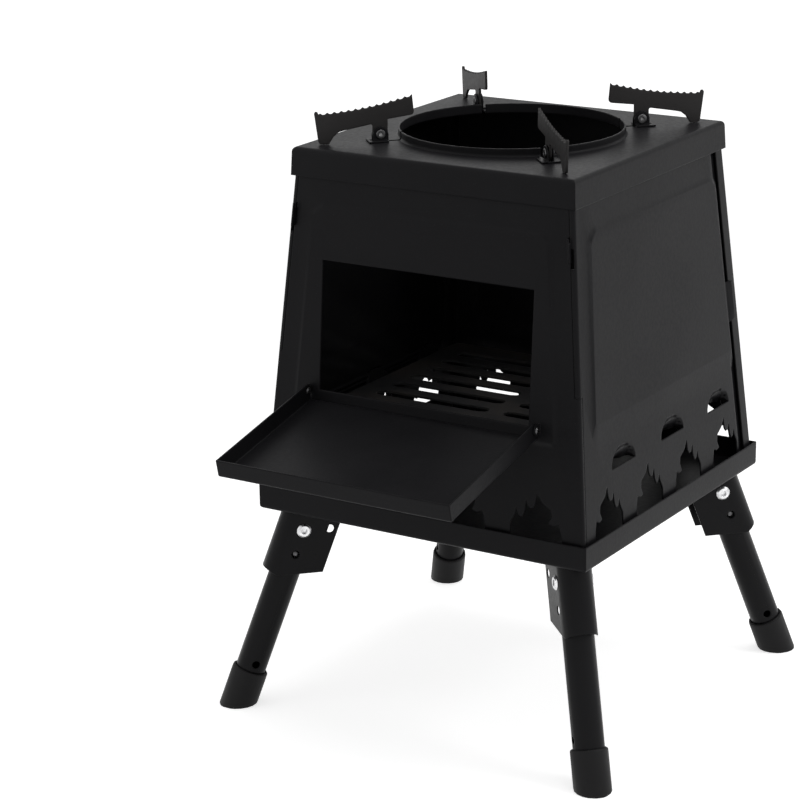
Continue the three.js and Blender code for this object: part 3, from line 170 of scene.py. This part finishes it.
def powder_coat(name, dark, light, gloss, specular):
    """Black satin powder coat: a fine grain over a faint peel, clouds of gloss and sparse dust."""
    s = Shader(name)
    grain = s.noise(COAT_GRAIN, 2.0)
    peel = s.noise(COAT_PEEL)
    cloud = s.noise(COAT_CLOUD, 4.0)
    speck = s.noise(COAT_SPECK, 1.0)
    tone = s.mix(s.ramp(cloud, CLOUD_SPAN), dark, light)
    s.link(s.mix(s.ramp(speck, SPECK_SPAN, (0.0, DUST_SHARE)), tone, DUST), s.bsdf.inputs["Base Color"])
    shine = s.ramp(cloud, MIDDLE, (gloss - CLOUD_ROUGHNESS, gloss + CLOUD_ROUGHNESS))
    s.link(s.combine(shine, s.ramp(peel, MIDDLE, PEEL_ROUGHNESS)), s.bsdf.inputs["Roughness"])
    s.bsdf.inputs["Specular IOR Level"].default_value = specular
    height = s.combine(s.ramp(grain, MIDDLE, (0.0, GRAIN_SHARE)), s.ramp(peel, MIDDLE))
    s.bump(height, COAT_DEPTH, COAT_STRENGTH, FOLD)
    return s.material


def scratched_steel(name, scratches, patches, patch_span, tones, roughness):
    """Steel with fine scratches and patches of another tone."""
    s = Shader(name)
    scratch = s.noise(1.0, 2.0, vector=s.stretched(scratches))
    patch = s.noise(patches)
    s.bsdf.inputs["Metallic"].default_value = 1.0
    s.link(s.mix(s.ramp(patch, patch_span), *tones), s.bsdf.inputs["Base Color"])
    s.link(s.combine(s.ramp(patch, MIDDLE, roughness), s.ramp(scratch, SCRATCH_SPAN, SCRATCH_ROUGHNESS)),
           s.bsdf.inputs["Roughness"])
    s.bump(scratch, SCRATCH_DEPTH, SCRATCH_STRENGTH)
    return s.material


def grained(name, grain, depth, patch, patch_span, tones, roughness, specular):
    """A matt surface with a fine grain and patches of another tone. A patch is scale, detail, roughness."""
    s = Shader(name)
    relief = s.noise(grain)
    patches = s.noise(*patch)
    s.link(s.mix(s.ramp(patches, patch_span), *tones), s.bsdf.inputs["Base Color"])
    s.link(s.ramp(patches, MIDDLE, roughness), s.bsdf.inputs["Roughness"])
    s.bsdf.inputs["Specular IOR Level"].default_value = specular
    s.bump(relief, depth, GRAIN_STRENGTH)
    return s.material


COAT = powder_coat("black powder coat", (0.0074, 0.0072, 0.0082), (0.0092, 0.0090, 0.0100), 0.42, 0.08)
LEG_COAT = powder_coat("black leg coat", (0.0066, 0.0064, 0.0072), (0.0082, 0.0080, 0.0088), 0.34, 0.10)
SUPPORT_COAT = powder_coat("heat-browned support coat", (0.022, 0.021, 0.021), (0.030, 0.028, 0.028),
                           0.50, 0.15)
STEEL = scratched_steel(
    "plated rivet steel", scratches=(300.0, 2600.0, 900.0), patches=180.0, patch_span=(0.35, 0.7),
    tones=((0.80, 0.80, 0.81), (0.62, 0.62, 0.63)), roughness=(0.22, 0.34))
# the pot rivets, leg buttons and door pins are the same plated steel as the pivots; their darker tones are a
# painted dark reflection
STEEL_WITH_PAINTED_DARK_REFLECTION = scratched_steel(
    "plated steel with painted dark reflection", scratches=(400.0, 2200.0, 700.0), patches=260.0, patch_span=(0.45, 0.75),
    tones=((0.085, 0.084, 0.086), (0.17, 0.17, 0.175)), roughness=(0.30, 0.42))
GRATE = grained(
    "matt black grate coat", grain=1100.0, depth=0.00006, patch=(16.0, 5.0, 0.6), patch_span=(0.4, 0.7),
    tones=((0.012, 0.012, 0.013), (0.030, 0.026, 0.023)), roughness=(0.55, 0.72), specular=0.3)
RUBBER = grained(
    "black foot rubber", grain=1300.0, depth=0.00005, patch=(60.0, 4.0, 0.65), patch_span=(0.45, 0.75),
    tones=((0.0072, 0.0070, 0.0075), (0.0115, 0.0112, 0.0117)), roughness=(0.46, 0.58), specular=0.16)

# by the start of a piece's name; all other pieces have the black powder coat
MATERIALS = {"leg_pivot": STEEL, "pot_rivet": STEEL_WITH_PAINTED_DARK_REFLECTION, "leg_button": STEEL_WITH_PAINTED_DARK_REFLECTION, "door_pin": STEEL_WITH_PAINTED_DARK_REFLECTION,
             "leg_foot": RUBBER, "charcoal_grate": GRATE, "pot_support": SUPPORT_COAT,
             "leg_tube": LEG_COAT, "leg_socket": LEG_COAT}

# ---------------------------------------------------------------- the CAD nodes' finish
# by the start of a piece's name, where "door_pin" has to come before "door"
EDGE_RADII = {"leg_foot": 0.0008, "pot_rivet": 0.0002, "leg_pivot": 0.0003, "leg_button": 0.0002,
              "door_pin": 0.0002, "pot_bracket": 0.0002, "lid": 0.0009, "tray": 0.0006, "door": 0.0006}
EDGE_RADIUS = 0.00035  # of all other pieces
EDGE_SEGMENTS = 2
SHARP_ANGLE = math.radians(34)
FACE_WEIGHT = 100  # large faces outweigh small ones in the smooth normals


def entry(table, name, otherwise):
    """What a table gives for the first key that a piece's name starts with."""
    return next((value for start, value in table.items() if name.startswith(start)), otherwise)


def finish_surface(piece, name):
    """Gives a CAD node, or the piece that stands for it, its material, softened edges and smooth shading."""
    piece.data.materials.clear()
    piece.data.materials.append(entry(MATERIALS, name, COAT))
    weld = piece.modifiers.new("weld", "WELD")
    weld.merge_threshold = SAME_PLACE
    bevel = piece.modifiers.new("edge", "BEVEL")
    bevel.width = entry(EDGE_RADII, name, EDGE_RADIUS)
    bevel.segments = EDGE_SEGMENTS
    bevel.limit_method = "ANGLE"
    bevel.angle_limit = SHARP_ANGLE
    bevel.harden_normals = False
    for polygon in piece.data.polygons:
        polygon.use_smooth = True
    normals = piece.modifiers.new("normals", "WEIGHTED_NORMAL")
    normals.keep_sharp = False
    normals.weight = FACE_WEIGHT


for name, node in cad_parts.items():
    finish_surface(node, name)

# ---------------------------------------------------------------- side panels with narrow, square louvres
# the side walls as the CAD solids have them
SHEET = 0.0012
WALL_FOOT_Z = 0.1695
WALL_FOOT_HALF = 0.1477  # from the stove's middle to a wall's outer face at its foot
WALL_LEAN = 0.0845  # inwards, per length of height
LOUVRE_LIP_Z = 0.2335  # lower, open edge of the louvres
LOUVRE_PITCH = 0.0827
LOUVRE_MIDDLE = -0.0035  # of the middle louvre, from the stove's upright axis
SOLID_HALF_WIDTH = 0.0300  # the next four are the solids' louvres
SOLID_HEIGHT = 0.0160
SOLID_DEPTH = 0.0110
SOLID_SOFTNESS = 1.7
PAD_RISE = 0.0016
PAD_FOOT_Z = 0.2625  # lower edge of the raised pad's top

# what is made of them
LOUVRE_MOVE = 0.0111  # towards the back
LOUVRE_NARROWING = 0.65  # new width per old width
LOUVRE_DEPTH = 0.0085  # of the scoop, at its lip
LOUVRE_SOFTNESS = 1.3
LOUVRE_SQUARENESS = 5.0
PAD_SOFTENING = 0.012  # by which the pad's lower slope is widened
PAD_SPAN = 0.040  # height over which the widening runs out

# where a vertex counts as part of a louvre or of the pad
ON_SURFACE = 0.0002
LOUVRE_BAND = (-0.1, 1.12)  # in shares of a louvre's height
SURFACE_BAND = (-0.001, 0.999)
PAD_BAND = (-0.02, 1)  # in shares of PAD_SPAN

lid_low, lid_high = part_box("lid")
AXIS_Y = (lid_low[1] + lid_high[1]) / 2


def inside(share, band):
    return band[0] < share < band[1]


def depth_in_wall(co):
    """How far a vertex of a side wall lies behind the wall's outer face, measured level."""
    return WALL_FOOT_HALF - WALL_LEAN * (co.z - WALL_FOOT_Z) - abs(co.x)


def louvre_depth(across, rise, depth):
    """The new depth of a vertex that lies on a louvre's front or back surface, or its own depth elsewhere."""
    for sheet in (0.0, SHEET):
        share = rise / (SOLID_HEIGHT + sheet)
        if not inside(share, SURFACE_BAND):
            continue
        side = across / ((SOLID_HALF_WIDTH + sheet) * math.sqrt(1 - max(share, 0.0) ** 2))
        if side >= 1:
            continue
        height = 1 - max(share, 0.0)
        solid = (SOLID_DEPTH + sheet) * height ** SOLID_SOFTNESS * math.cos(side * math.pi / 2)
        if abs(depth - solid) < ON_SURFACE and solid > sheet:
            square = (1 - side ** LOUVRE_SQUARENESS) ** (1 / LOUVRE_SQUARENESS)
            return sheet + LOUVRE_DEPTH * height ** LOUVRE_SOFTNESS * square
    return depth


def squarer_louvres(co):
    """A side panel's vertex, moved where it is on a louvre so that the louvre is narrower and squarer."""
    rise = co.z - LOUVRE_LIP_Z
    if not inside(rise / SOLID_HEIGHT, LOUVRE_BAND):
        return co
    along = co.y - AXIS_Y - LOUVRE_MIDDLE
    middle = round(along / LOUVRE_PITCH) * LOUVRE_PITCH
    across = along - middle
    depth = depth_in_wall(co)
    sunk = louvre_depth(abs(across), rise, depth) - depth
    y = AXIS_Y + LOUVRE_MIDDLE + middle + LOUVRE_MOVE + across * LOUVRE_NARROWING
    return Vector((co.x - math.copysign(sunk, co.x), y, co.z))


def softer_pad(co):
    """A side panel's vertex, raised where it is on the pad's lower edge so that the pad runs out gently."""
    height = (co.z - PAD_FOOT_Z) / PAD_SPAN
    raised = depth_in_wall(co) + PAD_RISE
    if not inside(height, PAD_BAND) or min(abs(raised), abs(raised - SHEET)) > SAME_PLACE:
        return co
    lift = PAD_SOFTENING * (1 - height)
    return co + Vector((-math.copysign(WALL_LEAN * lift, co.x), 0, lift))


def press_louvres(mesh):
    """Moves the vertices of louvres and pad, then fills the wall's flat faces anew between their outlines."""
    bm = bmesh.new()
    bm.from_mesh(mesh)
    bmesh.ops.remove_doubles(bm, verts=bm.verts, dist=SAME_PLACE)
    flats = []
    for level in (0.0, SHEET):
        flat = [f for f in bm.faces if all(abs(depth_in_wall(v.co) - level) < SAME_PLACE for v in f.verts)]
        members = set(flat)
        # in the mesh's own order, which keeps the fill the same in every run
        rim = [e for e in bm.edges if sum(f in members for f in e.link_faces) == 1]
        normal = sum((f.normal * f.calc_area() for f in flat), Vector()).normalized()
        flats.append((flat, rim, normal))
    for vertex in bm.verts:
        vertex.co = softer_pad(squarer_louvres(vertex.co))
    for flat, rim, normal in flats:
        bmesh.ops.delete(bm, geom=flat, context="FACES_KEEP_BOUNDARY")
        fill = bmesh.ops.triangle_fill(bm, use_beauty=True, use_dissolve=False, edges=rim, normal=normal)
        for face in fill["geom"]:
            if isinstance(face, bmesh.types.BMFace):
                face.smooth = False
    bmesh.ops.recalc_face_normals(bm, faces=bm.faces)
    bm.to_mesh(mesh)
    bm.free()


def in_scene(name, data):
    """A new object of the scene that holds a mesh, a light or a camera."""
    thing = bpy.data.objects.new(name, data)
    bpy.context.scene.collection.objects.link(thing)
    return thing


for name in ("right_panel", "left_panel"):
    pressed = in_scene(f"{name}_pressed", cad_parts[name].data.copy())
    finish_surface(pressed, name)
    press_louvres(pressed.data)
    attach(pressed, "root")
    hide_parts(name)

# ---------------------------------------------------------------- studio
FLOOR_HALF = 20.0
FLOOR_Z = -0.0002  # just under the feet
PAPER = (0.82, 0.82, 0.82, 1)
# the paper's glow by the distance from the stove's middle: a span of metres and the strengths at its ends
GLOW_NEAR = ((0.35, 1.1), (0.70, 0.52))
GLOW_FAR = ((1.3, 3.5), (0.0, 0.40))
SKY_LIGHT = 0.42  # strength of the sky for the rays that light; it is 1 for those that see it
LAMP_TARGET = Vector((0, 0, 0.3))
LAMPS = (  # name, place, size and watts
    ("key", (2.0, 0.5, 1.7), 1.2, 15.0),
    ("top", (0.2, 0.4, 2.6), 1.4, 14.0),
    ("fill", (-1.6, -1.9, 1.4), 1.6, 4.0),
)


def white_paper():
    """White paper that glows for the rays that see it and not for those that light."""
    s = Shader("white paper")
    s.bsdf.inputs["Base Color"].default_value = PAPER
    s.bsdf.inputs["Roughness"].default_value = 1.0
    s.bsdf.inputs["Specular IOR Level"].default_value = 0.0
    length = s.add("ShaderNodeVectorMath", operation="LENGTH")
    s.link(s.place, length.inputs[0])
    distance = length.outputs["Value"]
    strength = s.combine(s.ramp(distance, *GLOW_NEAR), s.ramp(distance, *GLOW_FAR))
    glow = s.add("ShaderNodeEmission")
    s.link(s.combine(s.sight(), strength, "MULTIPLY"), glow.inputs["Strength"])
    both = s.add("ShaderNodeAddShader")
    s.link(s.bsdf.outputs[0], both.inputs[0])
    s.link(glow.outputs[0], both.inputs[1])
    s.link(both.outputs[0], s.tree.nodes["Material Output"].inputs["Surface"])
    return s.material


floor_mesh = bpy.data.meshes.new("floor")
floor_corners = [(x * FLOOR_HALF, y * FLOOR_HALF, 0) for x, y in ((-1, -1), (1, -1), (1, 1), (-1, 1))]
floor_mesh.from_pydata(floor_corners, [], [(0, 1, 2, 3)])
floor_mesh.materials.append(white_paper())
floor = in_scene("floor", floor_mesh)
floor.location.z = FLOOR_Z

world = bpy.data.worlds.new("studio")
bpy.context.scene.world = world
world.use_nodes = True
sky = Nodes(world.node_tree)
background = sky.tree.nodes["Background"]
background.inputs["Color"].default_value = WHITE
sky.link(sky.ramp(sky.sight(), (0.0, 1.0), (SKY_LIGHT, 1.0)), background.inputs["Strength"])

for name, place, size, watts in LAMPS:
    light = bpy.data.lights.new(name, "AREA")
    light.shape = "DISK"
    light.size = size
    light.energy = watts
    lamp = in_scene(name, light)
    lamp.location = place
    lamp.rotation_euler = (LAMP_TARGET - Vector(place)).to_track_quat("-Z", "Y").to_euler()

# ---------------------------------------------------------------- camera
CAMERA_PLACE = Vector((1.0739, -1.8159, 0.9083))
CAMERA_AZIMUTH = math.radians(32.450)
CAMERA_ELEVATION = math.radians(17.211)
CAMERA_ROLL = math.radians(-0.840)
CAMERA_LENS = 123.58
CAMERA_SENSOR = 36.0

camera_data = bpy.data.cameras.new("camera")
camera_data.sensor_width = CAMERA_SENSOR
camera_data.lens = CAMERA_LENS
camera = in_scene("camera", camera_data)
camera.location = CAMERA_PLACE
forward = Vector((-math.sin(CAMERA_AZIMUTH) * math.cos(CAMERA_ELEVATION),
                  math.cos(CAMERA_AZIMUTH) * math.cos(CAMERA_ELEVATION), -math.sin(CAMERA_ELEVATION)))
level = Vector((math.cos(CAMERA_AZIMUTH), math.sin(CAMERA_AZIMUTH), 0))
upward = level.cross(forward)
right = level * math.cos(CAMERA_ROLL) + upward * math.sin(CAMERA_ROLL)
up = upward * math.cos(CAMERA_ROLL) - level * math.sin(CAMERA_ROLL)
camera.rotation_mode = "QUATERNION"
camera.rotation_quaternion = Matrix((right, up, -forward)).transposed().to_quaternion()
bpy.context.scene.camera = camera
bpy.context.scene.view_settings.view_transform = "Standard"

bpy.context.view_layer.update()
